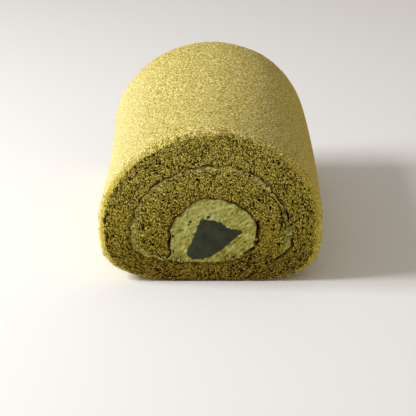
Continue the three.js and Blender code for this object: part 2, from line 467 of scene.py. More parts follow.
TEARS = [
    [(-44.6, 27.6), (-44.5, 26.4)],
    [(13.9, 12.9), (15.8, 13.9), (18.0, 14.6)],
    [(19.5, 20.6), (18.8, 19.8)],
    [(18.9, 17.6), (18.4, 16.9)],
    [(34.2, 19.2), (33.6, 15.6), (31.4, 12.4), (28.0, 10.6)],
]
TEAR_WIDTH = 0.7
TEAR_STEPS = 14


def matched(stretches, cells):
    """The two lines of some stretches, with as many points on one as on the other."""
    lines = []
    for face in (0, 1):
        runs = [even(stretch[face], count) for stretch, count in zip(stretches, cells)]
        lines.append(joined(*[run[:-1] for run in runs], runs[-1][-1:]))
    return lines


def round_turns(x, z, stops):
    """Reads a list of (degrees, value) at the angle of each place round the turns."""
    return np.interp(turn_angle(x, z), *zip(*stops))


def turn_angle(x, z):
    """Degrees round the middle of the turns, from the right, -90 to 270."""
    return (np.degrees(np.arctan2(z - SPREAD_MIDDLE, x)) + 90) % 360 - 90


def round_heart(flat):
    """Which points lie in the first turn of the sheet, the one round the heart."""
    return flat.along < sum(SHEET_CELLS[:2]) + SHEET_CELLS[2] / 3


def browning(flat):
    """How brown the bake is along the sheet; the cream has bleached it in places."""
    shown = round_turns(flat.x, flat.z, BROWN_SHOWS)
    seam_start = sum(SHEET_CELLS) - UNBROWNED_SEAM
    in_seam = smoothstep(flat.along, seam_start, seam_start + SEAM_FADES)
    return np.where(round_heart(flat), BROWN_HEART, shown) * (1 - CREAM_BLEACHES * in_seam)


def creamed(flat):
    """How green the crumb is, 0 to 1, where the spread has soaked in from its inner face."""
    inner_turn = flat.along < sum(SHEET_CELLS[:2]) + SHEET_CELLS[2] / 2
    under_spread = (1 - flat.share) * flat.thick
    soaked_in = 1 - smoothstep(under_spread, 0.4, SOAKED_DEEP)
    return inner_turn * round_turns(flat.x, flat.z, CREAM_SOAKS) * soaked_in


def tears(flat):
    """1 in the middle of each small tear that the knife has opened, 0 away from it."""
    away = np.full(len(flat.x), np.inf)
    for line in TEARS:
        for x, z in even(np.array(line), TEAR_STEPS):
            away = np.minimum(away, np.hypot(flat.x - x, flat.z - z))
    return 1 - smoothstep(away, TEAR_WIDTH / 2, TEAR_WIDTH)


def in_flat_sheet(flat, near, far):
    """Where each vertex lay in the flat sheet, with its length shortened by DRAWN_OUT."""
    middle = (near + far) / 2
    way = travelled(steps(middle) / round_turns(*middle[1:].T, DRAWN_OUT))
    along = np.interp(flat.along, np.arange(len(middle)), way)
    return np.column_stack([along, flat.y, flat.share * flat.thick])


slab = flat_slab(sum(SHEET_CELLS), SHEET_THROUGH)
refine_skin(slab, FIRST_SKIN_CELL, SHEET_THROUGH, CELL)
refine(slab, 2, on_cut)
sheet_lines = matched(sheet_stretches, SHEET_CELLS)
sponge_mesh, flat = rolled("sponge_roll", slab, *sheet_lines, SHEET_THROUGH)
from_cut = np.minimum(flat.y, ROLL_LENGTH - flat.y)
under_skin = (1 - to_skin(flat.x, flat.z)[0]) * SKIN_RADIUS
on_skin = (flat.share == 1) & (flat.along >= FIRST_SKIN_CELL)
brown_spreads = round_turns(flat.x, flat.z, BROWN_SPREADS)
brown_spreads[round_heart(flat)] = HEART_BAKE_THIN
past_rim = np.where(from_cut == 0, under_skin, -from_cut)
past_rim -= round_turns(flat.x, flat.z, RIM_SHOWS)
# painted shade: near the table the skin counts as past the rim, so it takes the dark crumb colour
past_rim += FOOT_PAINTED_SHADE * (1 - smoothstep(flat.z, 0, FOOT_PAINTED_SHADE_HEIGHT))
under_bake = flat.share * flat.thick * brown_spreads
on_skin = on_skin * (2 - smoothstep(from_cut, 0, RIM_RUN))
flat.place = in_flat_sheet(flat, *sheet_lines)
depths = dict(under_bake=under_bake, past_rim=past_rim, on_skin=on_skin)
keep(sponge_mesh, flat, **depths, browning=browning(flat), creamed=creamed(flat))
sponge = add_piece(sponge_mesh)

# %% [markdown]
# ## The cream
# The cream is one body: a heart round the dark bar, and a thin spread that leaves it at the
# lower left and runs between the turns. Each could be a slab of its own. But where two slabs
# meet, the wall between them would show as a line, so the walls are taken out and the slabs
# are welded. The heart has shrunk a little from the sponge, which leaves a few thin air pockets.

# %% Follow the heart and the spread
CREAM_GAP = 0.04
HEART_POCKETS = [
    (-17.8, 18.8, 6.0, 0.9), (19.8, 23.4, 4.6, 1.1), (15.9, 13.6, 3.0, 0.8), (19.2, 17.2, 1.2, 0.6),
]
WRAP_POCKETS = [(29.6, 36.5, 9.0, 0.6), (30.2, 27.5, 6.5, 0.7)]
CREAM_END = -37
MOUTH_ANGLE = 246


def drawn_back(line, side, pockets=()):
    """Moves a line of the cream off the sponge, to its left if side is 1, more at a pocket."""
    run = np.gradient(line, axis=0)
    normal = side * np.column_stack([-run[:, 1], run[:, 0]])
    normal /= np.linalg.norm(normal, axis=1, keepdims=True)
    gap = np.full(len(line), CREAM_GAP)
    for x, z, reach, width in pockets:
        away = np.hypot(line[:, 0] - x, line[:, 1] - z) / reach
        gap = np.maximum(gap, width * (1 - away**2))
    return line + normal * gap[:, None]


edge_top = arc(HEART, HEART_START, HEART_START)[-1]
edge_foot = arc(INNER_WRAP, WRAP_START, WRAP_START)[-1]
edge_corner = np.array([edge_top[0] + 0.4, edge_foot[1]])
t = np.linspace(0, 1, 12)[:, None]
start_edge = (1 - t) ** 2 * edge_top + 2 * t * (1 - t) * edge_corner + t**2 * edge_foot

heart_line = drawn_back(arc(HEART, LOW_MIDDLE.heart, HEART_START), 1, HEART_POCKETS)
heart_foot = drawn_back(arc(OUTER_WRAP, MOUTH_ANGLE, LOW_MIDDLE.outer_wrap), 1)
mouth = np.array([heart_line[-1], heart_foot[0]])
first_inside = joined(start_edge, arc(INNER_WRAP, WRAP_START, 180)[1:])
turns = [(MOUTH_ANGLE, 180), (180, 90), (90, 0), (0, CREAM_END)]
spread_stretches = []
for start, end in turns:
    inside = first_inside if start == MOUTH_ANGLE else arc(INNER_WRAP, start, end)
    outside = arc(OUTER_WRAP, start, end)
    spread_stretches.append((drawn_back(outside, -1, WRAP_POCKETS), drawn_back(inside, 1, WRAP_POCKETS)))
spread_stretches[0][0][0], spread_stretches[0][1][0] = mouth[1], mouth[0]
print("mouth of the spread", mouth.round(1).tolist())

# %% [markdown]
# ## The outline of the bar
# The bar is cut by hand. Its corners are set one by one and rounded by a bevel, and the same
# outline gives the bar and, a hair wider, the channel in the heart.

# %% Follow the bar
BAR = [
    (-4.2, 27.7), (0.5, 27.2), (4.6, 25.5), (7.6, 23.3), (13, 22.6), (11.4, 20.9), (4, 14.3),
    (-1.2, 10.9), (-4, 10.1), (-8.2, 10.2), (-10.2, 12.2), (-9.9, 14.9), (-7.3, 18.8), (-6.3, 22.6),
]
BAR_CORNER = 1
BAR_RADIUS = 9


def bar_section():
    """The bar's section as one face, with its corners rounded."""
    bm = bmesh.new()
    corners = [bm.verts.new((x, z, 0)) for x, z in BAR]
    bmesh.ops.contextual_create(bm, geom=corners)
    rounding = dict(affect="VERTICES", offset=BAR_CORNER, segments=4, profile=0.5, material=-1)
    bmesh.ops.bevel(bm, geom=bm.verts[:], **rounding)
    return bm


def towards(targets, outline):
    """Where the lines from the bar's middle to the targets cross an outline round it."""
    dense = even(joined(outline, outline[:1]), 900) - BAR_MIDDLE
    angle = np.arctan2(dense[:, 1], dense[:, 0])
    aim = targets - BAR_MIDDLE
    aim = np.arctan2(aim[:, 1], aim[:, 0])
    return BAR_MIDDLE + points_at(aim, angle, dense, period=math.tau)


bm = bar_section()
bar_line = np.array([loop.vert.co[:2] for loop in bm.faces[:][0].loops])
bm.free()
channel_line = bar_line + (bar_line - BAR_MIDDLE) * CREAM_GAP / BAR_RADIUS
print("bar", len(bar_line), "corners,", np.ptp(bar_line, axis=0).round(1).tolist(), "mm")

# %% [markdown]
# ## One body of cream
# The heart is a slab that runs round the bar and closes on itself, and the spread is a second slab.
# Where they meet, their walls have the same corners, so the doubled faces can be found and deleted.

# %% Fill the heart and the spread, and weld them
CREAM_CELL = 0.8
MOUTH_CELLS = 4
HEART_THROUGH = 10


def cells_in(line):
    return round(length(line) / CREAM_CELL)


def welded(name, *meshes):
    """One mesh of several. Where two walls lie back to back, both go and the edges join."""
    bm = bmesh.new()
    for mesh in meshes:
        bm.from_mesh(mesh)
    walls = {}
    for face in bm.faces:
        key = tuple(round(value / MM, 3) for value in face.calc_center_median())
        walls.setdefault(key, []).append(face)
    doubled = [face for faces in walls.values() if len(faces) == 2 for face in faces]
    bmesh.ops.delete(bm, geom=doubled, context="FACES")
    bmesh.ops.remove_doubles(bm, verts=bm.verts, dist=TINY * MM)
    print(name, "walls taken out:", len(doubled))
    return mesh_of(name, bm)


heart_cells = [cells_in(heart_line), MOUTH_CELLS, cells_in(heart_foot)]
heart_runs = [even(run, n)[:-1] for run, n in zip([heart_line, mouth, heart_foot], heart_cells)]
heart_round = joined(*heart_runs, heart_line[:1])
slab = flat_slab(len(heart_round) - 1, HEART_THROUGH)
refine(slab, 2, on_cut)
channel_round = towards(heart_round, channel_line)
heart_mesh, heart_flat = rolled("heart", slab, channel_round, heart_round, HEART_THROUGH)

spread_cells = [cells_in(outside) for outside, inside in spread_stretches]
slab = flat_slab(sum(spread_cells), MOUTH_CELLS)
refine(slab, 2, on_cut)
spread_lines = matched(spread_stretches, spread_cells)
spread_mesh, spread_flat = rolled("spread", slab, *spread_lines, MOUTH_CELLS)

# %% [markdown]
# ## Soaked cream
# The spread is only a few millimetres thick, and much of it has soaked into the crumb. It shows
# as cream in a few places and looks like green crumb in between. Each place below is a stretch,
# in degrees from the right round the middle of the roll, with the part of the spread's thickness
# that shows and how plainly.

# %% Say where the cream shows
CREAM_SHOWS = [
    (-34, -7, 0.9, 0.78), (-7, 4, 0.6, 0.55), (35, 55, 0.7, 0.9), (62, 80, 0.4, 0.6),
    (86, 107, 0.6, 0.9), (107, 150, 0.5, 0.68), (166, 195, 0.8, 0.55), (195, 228, 0.95, 0.78),
]
THIN_SPREAD = 0.2
HEART_FOOT_SOAKED = 0.75
LEFT_FOOT_SHARE = 0.85
FAR_AWAY = 9


def soaked(flat):
    """1 where the spread has soaked in, THIN_SPREAD where it shows as cream."""
    angle = turn_angle(flat.x, flat.z)
    shows = np.zeros(len(angle))
    for start, end, part, strength in CREAM_SHOWS:
        in_stretch = smoothstep(angle, start - 2, start + 3) * (1 - smoothstep(angle, end - 3, end + 2))
        near_bake = 1 - smoothstep(flat.share, part - 0.15, part + 0.15)
        shows = np.maximum(shows, in_stretch * near_bake * strength)
    return 1 - shows * (1 - THIN_SPREAD)


left_foot = LEFT_FOOT_SHARE * (1 - smoothstep(heart_flat.x, -13, -7))
foot = np.maximum(smoothstep(heart_flat.x, -4, 9), left_foot)
foot *= 1 - smoothstep(heart_flat.z, 9, 17)
at_mouth = np.abs(heart_flat.along - heart_cells[0] - MOUTH_CELLS / 2) < MOUTH_CELLS
from_bake = np.where(at_mouth, FAR_AWAY, (1 - heart_flat.share) * heart_flat.thick)
from_bar = heart_flat.share * heart_flat.thick
keep(heart_mesh, heart_flat, soaked=foot * HEART_FOOT_SOAKED, from_bake=from_bake, from_bar=from_bar)
from_bake = spread_flat.share * spread_flat.thick
from_bar = np.full(len(from_bake), FAR_AWAY)
keep(spread_mesh, spread_flat, soaked=soaked(spread_flat), from_bake=from_bake, from_bar=from_bar)
cream = add_piece(welded("cream_heart_and_spread", heart_mesh, spread_mesh))

# %% [markdown]
# ## The bar
# The bar is set in a tray and cut into strips with a knife, so its section has straight sides and
# slightly rounded corners. It is firmer than the cream, which closes round it. Its cut ends sink
# a hair below the cream as the knife lets go, and their edges are softly rounded.

# %% Make the bar
BAR_SUNK = 0.25
BAR_EDGE = 0.3
LONG_EDGE = 3

bm = bar_section()
long_edges = [edge for edge in bm.edges if edge.calc_length() > LONG_EDGE]
bmesh.ops.subdivide_edges(bm, edges=long_edges, cuts=8)
bmesh.ops.dissolve_faces(bm, faces=bm.faces[:])
extrude_along(bm)
for vertex in bm.verts:
    x, z, station = vertex.co
    y = STATIONS[round(station)]
    sunk = {0: BAR_SUNK, LAST_STATION: -BAR_SUNK}.get(round(station), 0)
    vertex.co = Vector(settled_point(x, y, z) + (0, sunk, 0)) * MM
bmesh.ops.recalc_face_normals(bm, faces=bm.faces)
ends = [face for face in bm.faces if len(face.verts) > 4]
rim_edges = [edge for face in ends for edge in face.edges]
rounding = dict(affect="EDGES", offset=BAR_EDGE * MM, segments=3, profile=0.5, material=-1)
bmesh.ops.bevel(bm, geom=rim_edges, **rounding)
bar = add_piece(mesh_of("set_bar", bm))
flat_ends = [face for face in bar.data.polygons if len(face.vertices) > 4]

# %% [markdown]
# ## Loose crumbs
# The knife tears a few crumbs off, and they cling to the rim and to the skin close to it. Each
# is a small faceted ball of a few faces, pushed out of round. A seeded draw says where they sit,
# so they are the same every time.

# %% Scatter loose crumbs
LOOSE_CRUMBS = 260
CRUMB_REACH = 3.0
CRUMB_RADIUS = (0.18, 0.5)
CRUMB_SUNK = 0.3
OUT_OF_ROUND = 0.65
MOST_ARE_SMALL = 2
MOST_ARE_NEAR = 1.5

draw = random.Random(12)
skin_line = arc(SKIN, TAIL_TIP, 266)
middle = np.array([0, 0, SKIN.waist])
bm = bmesh.new()
for number in range(LOOSE_CRUMBS):
    size = draw.uniform(0, 1) ** MOST_ARE_SMALL
    radius = size * (CRUMB_RADIUS[1] - CRUMB_RADIUS[0]) + CRUMB_RADIUS[0]
    from_cut = draw.uniform(0, 1) ** MOST_ARE_NEAR * CRUMB_REACH
    y = from_cut if number % 2 else ROLL_LENGTH - from_cut
    x, z = skin_line[draw.randrange(len(skin_line))]
    place = settled_point(x, y, z)
    inward = (middle - place) * (1, 0, 1)
    place = place + inward / np.linalg.norm(inward) * radius * CRUMB_SUNK
    place = np.clip(place, PLAIN_LOW + radius, PLAIN_HIGH - radius)
    ball = bmesh.ops.create_icosphere(bm, subdivisions=1, radius=radius)["verts"]
    for vertex in ball:
        vertex.co *= draw.uniform(OUT_OF_ROUND, 1)
    bmesh.ops.translate(bm, verts=ball, vec=place)
bmesh.ops.scale(bm, verts=bm.verts, vec=(MM, MM, MM))
crumbs = add_piece(mesh_of("loose_crumbs", bm))

# %% [markdown]
# ## Nodes
# A finish is a small graph: textures that say where, and a shader that says how. One function adds
# a node with its settings and links. Colours are written as on a screen, in hex, and one function
# turns them to the linear values that light works in.

# %% One function for nodes, one for colours
TIMES, PLUS, TIMES_PLUS = [dict(operation=name) for name in ("MULTIPLY", "ADD", "MULTIPLY_ADD")]
SMOOTH = dict(interpolation_type="SMOOTHSTEP")
COVER = dict(data_type="RGBA")
STAIN = COVER | dict(blend_type="MULTIPLY")
FACTOR, FIRST, SECOND = 0, 6, 7  # a colour Mix node's sockets, by place


def node(tree, kind, inputs=(), **settings):
    """Adds a node; a kind without Node in it is a ShaderNode. An input is a constant, a socket,
    or a node, whose first live output is used."""
    made = tree.nodes.new(kind if "Node" in kind else "ShaderNode" + kind)
    for name, value in settings.items():
        setattr(made, name, value)
    for key, value in dict(inputs).items():
        if isinstance(value, bpy.types.Node):
            value = next(output for output in value.outputs if output.enabled)
        if isinstance(value, bpy.types.NodeSocket):
            tree.links.new(value, made.inputs[key])
        else:
            made.inputs[key].default_value = value
    return made


def scaled(place, width, **more):
    """The inputs of a texture whose grains are about width millimetres wide."""
    return {"Vector": place, "Scale": 1 / (width * MM)} | more


def linear(hex_colour):
    parts = [int(hex_colour[k : k + 2], 16) / 255 for k in (1, 3, 5)]
    return [p / 12.92 if p <= 0.04045 else ((p + 0.055) / 1.055) ** 2.4 for p in parts] + [1.0]


def set_stops(ramp, stops):
    """Gives a colour ramp its stops, (position, hex colour), and hands it back."""
    elements = ramp.color_ramp.elements
    while len(elements) < len(stops):
        elements.new(0.5)
    for element, (position, colour) in zip(elements, stops):
        element.position = position
        element.color = linear(colour)
    return ramp


# %% [markdown]
# ## Open crumb
# Bubbles in a sponge are irregular, run into each other and come in two sizes. A Voronoi texture
# gives each bubble its own cell, and a noise bends the cells so that none is round. The same
# nodes serve twice: in geometry nodes they sink the bubbles into the cut, and in the materials
# they darken them with painted shade, so that colour and form always agree.

# %% The bubble pattern
BUBBLE = 0.98
FINE_BUBBLE = 0.55
BEND = 0.7
OPENNESS = 9


def bubbles(add, place):
    """How deep a place lies in the bubbles: 0 on a wall, 1 at the bottom of a bubble."""
    bend = add("TexNoise", scaled(place, BEND, Detail=1.0))
    bend = add("VectorMath", {0: bend.outputs["Color"], 1: (0.5, 0.5, 0.5)}, operation="SUBTRACT")
    bend = add("VectorMath", {0: bend, "Scale": BEND * MM}, operation="SCALE")
    bent = add("VectorMath", {0: place, 1: bend}, **PLUS)
    openness = add("TexNoise", scaled(place, OPENNESS, Detail=1.0))
    openness = {"Value": openness, "From Min": 0.35, "From Max": 0.6, "To Min": 0.365, "To Max": 0.46}
    openness = add("MapRange", openness)
    holes = []
    for width, share in ((BUBBLE, 1.0), (FINE_BUBBLE, 0.8)):
        cell = add("TexVoronoi", scaled(bent, width))
        luck = add("SeparateXYZ", {0: cell.outputs["Color"]})
        luck = add("Math", {0: luck}, operation="SQRT")
        radius = add("Math", {0: luck, 1: openness}, **TIMES)
        outer, inner = [add("Math", {0: radius, 1: wall}, **PLUS) for wall in (0.04, -0.09)]
        reach = {"Value": cell, "From Min": outer, "From Max": inner, "To Max": share}
        holes.append(add("MapRange", reach, **SMOOTH))
    return add("Math", {0: holes[0], 1: holes[1]}, operation="MAXIMUM").outputs[0]


# %% [markdown]
# ## Relief
# Geometry nodes move the vertices of a finished mesh. Everything is pressed inwards, never out,
# so that the roll keeps its size: bubbles, tears and a slightly wavy knife cut at each end,
# shallow dips on the skin and crags along its rim, and on the heart the drags and small pits that
# a knife leaves in cream. Sculpting would do as well, but nodes can be changed by one number.

# %% Ways to press in
TEAR_DEPTH = 1.6


def start_relief(name, *attributes):
    """A geometry node tree, the way to add to it, each vertex's place, and its attributes."""
    tree = bpy.data.node_groups.new(name, "GeometryNodeTree")
    for way in ("INPUT", "OUTPUT"):
        tree.interface.new_socket("Geometry", in_out=way, socket_type="NodeSocketGeometry")
    add = partial(node, tree)
    kinds = {"pattern_place": "FLOAT_VECTOR"} | dict.fromkeys(attributes, "FLOAT")
    read = [
        add("GeometryNodeInputNamedAttribute", {"Name": attribute}, data_type=kind)
        for attribute, kind in kinds.items()
    ]
    return tree, add, add("GeometryNodeInputPosition").outputs[0], *read


def into_cut(add, place, depth, tear, cut):
    """An offset that presses a cut end in along the roll, by depth and by the tears there."""
    depth = add("Math", {0: tear, 1: TEAR_DEPTH, 2: depth}, **TIMES_PLUS)
    side = add("SeparateXYZ", {0: place}).outputs["Y"]
    side = add("Math", {0: side}, operation="SIGN")
    for factor in (cut, side, -MM):
        depth = add("Math", {0: depth, 1: factor}, **TIMES)
    return add("CombineXYZ", {"Y": depth})


def press_in(piece, tree, *offsets):
    """Moves a piece's vertices by one offset after the other, and keeps the result as its mesh."""
    moved = node(tree, "NodeGroupInput")
    for offset in offsets:
        moved = node(tree, "GeometryNodeSetPosition", {"Geometry": moved, "Offset": offset})
    node(tree, "NodeGroupOutput", {0: moved})
    piece.modifiers.new(tree.name, "NODES").node_group = tree
    shown = piece.evaluated_get(bpy.context.evaluated_depsgraph_get())
    mesh = bpy.data.meshes.new_from_object(shown)
    far = np.linalg.norm(read_points(mesh) - read_points(piece.data), axis=1) / MM
    piece.modifiers.clear()
    piece.data = mesh
    print(piece.name, "pressed in by up to", round(float(far.max()), 2), "mm")


# %% Press bubbles, tears, dips and crags into the sponge
BUBBLE_DEPTH = 0.85
KNIFE_WAVE = 0.3
KNIFE_WAVE_LONG = 12
SKIN_DIP = 0.35
SKIN_DIP_WIDE = 4
RIM_CRAG = 0.7
RIM_CRAG_WIDE = 1.1

tree, add, place, pattern, cut, skin, tear = start_relief("crumb_relief", "on_cut", "on_skin", "tear")
hollow = add("Math", {0: bubbles(add, pattern), 1: BUBBLE_DEPTH}, **TIMES)
wave = add("TexNoise", scaled(place, KNIFE_WAVE_LONG, Detail=2.0))
wave = add("Math", {0: wave, 1: KNIFE_WAVE, 2: hollow}, **TIMES_PLUS)
dip = add("TexNoise", scaled(place, SKIN_DIP_WIDE, Detail=3.0, Roughness=0.6))
for factor in (skin, SKIN_DIP):
    dip = add("Math", {0: dip, 1: factor}, **TIMES)
by_rim = add("MapRange", {"Value": skin, "From Min": 1.0, "From Max": 2.0})
crag = add("TexNoise", scaled(place, RIM_CRAG_WIDE, Detail=2.0))
crag = add("Math", {0: crag, 1: by_rim}, **TIMES)
dip = add("Math", {0: crag, 1: RIM_CRAG, 2: dip}, **TIMES_PLUS)
dip = add("Math", {0: dip, 1: -MM}, **TIMES)
dip = add("VectorMath", {0: add("GeometryNodeInputNormal"), "Scale": dip}, operation="SCALE")
press_in(sponge, tree, into_cut(add, place, wave, tear, cut), dip)

# %% Press drags, pits and tears into the cream
CREAM_DRAG = 0.8
SMEAR = 1.2
SMEAR_STRETCH = 1.9
SMEAR_SLOPE = 42
PIT_APART = 3.9
PIT_REACH = 0.3
PIT_DEPTH = 0.8


def smears(add, place):
    """Ridges and lumps drawn out by the knife, one way and a little bent."""
    turned = {"Vector": place, "Angle": math.radians(SMEAR_SLOPE)}
    turned = add("VectorRotate", turned, rotation_type="Y_AXIS")
    drawn = add("VectorMath", {0: turned, 1: (1 / SMEAR_STRETCH, 1, 1)}, **TIMES)
    return add("TexNoise", scaled(drawn, SMEAR, Detail=4.0, Roughness=0.7, Distortion=0.35))


def pits(add, place):
    """A few small air pits that the knife has opened: 0 outside, 1 inside."""
    cell = add("TexVoronoi", scaled(place, PIT_APART))
    luck = add("SeparateXYZ", {0: cell.outputs["Color"]})
    radius = add("Math", {0: luck, 1: PIT_REACH}, **TIMES)
    bottom = add("Math", {0: radius, 1: 0.4}, **TIMES)
    reach = {"Value": cell, "From Min": radius, "From Max": bottom}
    return add("MapRange", reach, **SMOOTH).outputs[0]


tree, add, place, pattern, cut, soak, tear = start_relief("cream_relief", "on_cut", "soaked", "tear")
pit = add("Math", {0: pits(add, pattern), 1: PIT_DEPTH}, **TIMES)
drag = add("Math", {0: smears(add, pattern), 1: CREAM_DRAG, 2: pit}, **TIMES_PLUS)
hollow = add("Math", {0: bubbles(add, pattern), 1: BUBBLE_DEPTH}, **TIMES)
crumbly = add("Math", {0: hollow, 1: KNIFE_WAVE / 2}, **PLUS)
depth = add("Mix", {"Factor": soak, 2: drag, 3: crumbly})
press_in(cream, tree, into_cut(add, place, depth, tear, cut))

# %% [markdown]
# ## The colour of open crumb
# On the cut, thin walls of yellow-green stand round bubbles, which are painted nearly black inside
# as painted shade. The crumb is painted darker towards the foot and, as the light from the left
# fades, towards the right: painted shade. The walls stand out most near the top. It could be one
# flat green, but the eye knows sponge by its flecks; the brightest are partly painted highlight.

# %% Colour the crumb
FLECK = 0.46
FLECK_AND_HIGHLIGHT_STOPS = [(0.37, "#433400"), (0.45, "#7c690d"), (0.53, "#ae992c"), (0.61, "#f8e88a")]
CONTRAST = {"From Min": 22 * MM, "From Max": 58 * MM, "To Min": 0.76, "To Max": 1.45}
TORN_PALER = 0.05
PAINTED_SHADE_BY_HEIGHT = [(0, "#b6a28c"), (0.06, "#c8bfae"), (0.27, "#ebebd8"), (0.46, "#f1f1df"), (0.68, "#fdfeee")]
PAINTED_SHADE_RIGHTWARDS = {"From Min": 8 * MM, "From Max": 34 * MM, "To Min": 1.0, "To Max": 0.9}


def crumb_colour(add, place, torn=None):
    """The colour of open crumb: flecked walls, dark bubbles, painted shade low and to the right, torn rim.
    """
    pattern = add("Attribute", attribute_name="pattern_place").outputs["Vector"]
    fleck = add("TexNoise", scaled(pattern, FLECK, Detail=2.0, Roughness=0.6))
    across = add("SeparateXYZ", {0: place})
    height = across.outputs["Z"]
    contrast = add("MapRange", {"Value": height} | CONTRAST)
    fleck = add("Math", {0: fleck, 1: 0.5}, operation="SUBTRACT")
    fleck = add("Math", {0: fleck, 1: contrast, 2: 0.5}, **TIMES_PLUS)
    hollow = bubbles(add, pattern)
    if torn:
        fleck = add("Math", {0: torn, 1: TORN_PALER, 2: fleck}, **TIMES_PLUS)
        whole = add("Math", {0: 1.0, 1: torn}, operation="SUBTRACT")
        hollow = add("Math", {0: hollow, 1: whole}, **TIMES)
    # the walls' flecks: partly the crumb's own tone, partly painted highlight where walls catch light
    walls = set_stops(add("ValToRGB", {"Fac": fleck}), FLECK_AND_HIGHLIGHT_STOPS)
    tear = add("Attribute", attribute_name="tear").outputs["Fac"]
    hollow = add("Math", {0: hollow, 1: tear}, operation="MAXIMUM")
    # painted shade: the insides of bubbles and tears are painted nearly black
    open_crumb = add("Mix", {FACTOR: hollow, FIRST: walls, SECOND: linear("#1c1100")}, **COVER)
    # painted shade: darker with less height, most at the foot by the table, and darker to the right
    height = add("MapRange", {"Value": height, "From Max": ROLL_HEIGHT * MM})
    painted_shade = set_stops(add("ValToRGB", {"Fac": height}), PAINTED_SHADE_BY_HEIGHT)
    right = add("MapRange", {"Value": across} | PAINTED_SHADE_RIGHTWARDS)
    painted_shade = add("VectorMath", {0: painted_shade, "Scale": right}, operation="SCALE")
    return add("Mix", {FACTOR: 1.0, FIRST: open_crumb, SECOND: painted_shade}, **STAIN)


# %% [markdown]
# ## The sponge's finish
# Baked sponge is dry foam: it scatters light widely and has no shine. The baked face is a thin
# brown line; away from the cuts, where it shows in gaps and pockets, it is painted near black as
# painted shade. The skin has closed over in the tin, so it is paler, with a fine grain like
# sandpaper. Its left side is painted paler, as painted highlight, and its right side yellower, as
# painted shade. Towards the rim, where the skin is torn, it is yellower, and the crumb begins; at
# the foot the rim takes the crumb's colour, as painted shade. One noise makes all these borders
# uneven, so that none of them looks drawn.

# %% Start and end a finish
def start_finish(name):
    """A new material, and the way to add nodes to it."""
    material = bpy.data.materials.new(name)
    material.use_nodes = True
    material.node_tree.nodes.clear()
    return material, partial(node, material.node_tree)


def end_finish(add, finish):
    """Ends a material with its shader; finish holds the shader's inputs by name."""
    add("OutputMaterial", {0: add("BsdfPrincipled", finish)})


def dress(piece, material):
    """Gives a piece its finish, and its place in the part."""
    piece.data.materials.clear()
    piece.data.materials.append(material)
    piece.data.shade_smooth()
    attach(piece, "root")


# %% Baked green tea sponge
WOBBLE = 1.1
BAKE_PATCH = 2.6
BAKE_AND_PAINTED_GAP_SHADE = [(0.0, "#201303"), (1.0, "#4e320d")]
CREAM_GREENS = (0.92, 1.16, 1.35, 1)
GRAIN = 0.8
SKIN_STOPS = [(0.41, "#85741c"), (0.5, "#bfac4b"), (0.59, "#f6ecac")]
SKIN_BUMP = 0.9
LIT_AND_SHADED_SIDE_TINTS = [(-26, -46, 0.5, "#dfd29a"), (24, 44, 0.4, "#d8be3a")]
RIM_YELLOW = "#c5b032"
RIM_YELLOW_LOW = {"From Min": 60 * MM, "From Max": 44 * MM, "To Min": 0.15}

material, add = start_finish("baked_green_tea_sponge")
place = add("TexCoord").outputs["Object"]
depth, rim, strength, at_cut, green = [
    add("Attribute", attribute_name=name).outputs["Fac"]
    for name in ("under_bake", "past_rim", "browning", "on_cut", "creamed")
]
wobble = add("TexNoise", scaled(place, WOBBLE, Detail=3.0))
depth, rim = [
    add("Math", {0: wobble, 1: sway, 2: border}, **TIMES_PLUS)
    for sway, border in ((-3.0, depth), (-3.6, rim))
]
brown, torn, inside = [
    add("MapRange", {"Value": value, "From Min": start, "From Max": end}, **SMOOTH)
    for value, start, end in ((depth, -0.25, -0.95), (rim, -0.6, -1.5), (rim, -1.75, -1.45))
]
patchy = add("TexNoise", scaled(place, BAKE_PATCH, Detail=2.0))
patchy = add("MapRange", {"Value": patchy, "From Min": 0.4, "From Max": 0.56, "To Min": 0.3})
brown = add("Math", {0: brown, 1: patchy}, **TIMES)
brown = add("Math", {0: brown, 1: strength}, **TIMES, use_clamp=True)
# brown on the cut; painted shade, near black, where the baked face lies inside the roll's gaps
bake_or_gap_shade = set_stops(add("ValToRGB", {"Fac": at_cut}), BAKE_AND_PAINTED_GAP_SHADE)
cut = add("Mix", {FACTOR: green, FIRST: crumb_colour(add, place, torn), SECOND: CREAM_GREENS}, **STAIN)
cut = add("Mix", {FACTOR: brown, FIRST: cut, SECOND: bake_or_gap_shade}, **COVER)
grain = add("TexNoise", scaled(place, GRAIN, Detail=3.0, Roughness=0.7))
skin = set_stops(add("ValToRGB", {"Fac": grain}), SKIN_STOPS)
across = add("SeparateXYZ", {0: place})
# painted highlight: the left skin is paler; painted shade: the right skin is yellower
for near, far, share, tint in LIT_AND_SHADED_SIDE_TINTS:
    reach = add("MapRange", {"Value": across, "From Min": near * MM, "From Max": far * MM, "To Max": share})
    skin = add("Mix", {FACTOR: reach, FIRST: skin, SECOND: linear(tint)}, **COVER)
low = add("MapRange", {"Value": across.outputs["Z"]} | RIM_YELLOW_LOW)
by_rim = {"Value": rim, "From Min": -3.6, "From Max": -2.2, "To Max": 0.9}
by_rim = add("Math", {0: add("MapRange", by_rim), 1: low}, **TIMES)
skin = add("Mix", {FACTOR: by_rim, FIRST: skin, SECOND: linear(RIM_YELLOW)}, **COVER)
colour = add("Mix", {FACTOR: inside, FIRST: skin, SECOND: cut}, **COVER)
bump = add("Bump", {"Height": grain, "Distance": SKIN_BUMP * MM, "Strength": 0.9})
# dry foam: wide, soft highlights, no shine
foam = {"Roughness": 0.95, "IOR": 1.4, "Specular IOR Level": 0.1}
end_finish(add, foam | {"Base Color": colour, "Normal": bump})
dress(sponge, material)
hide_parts("sponge")

# %% Loose sponge crumb
CRUMB_TONE = 0.9
CRUMB_STOPS = [(0.35, "#8d7d25"), (0.5, "#cbb944"), (0.65, "#f1e38b")]

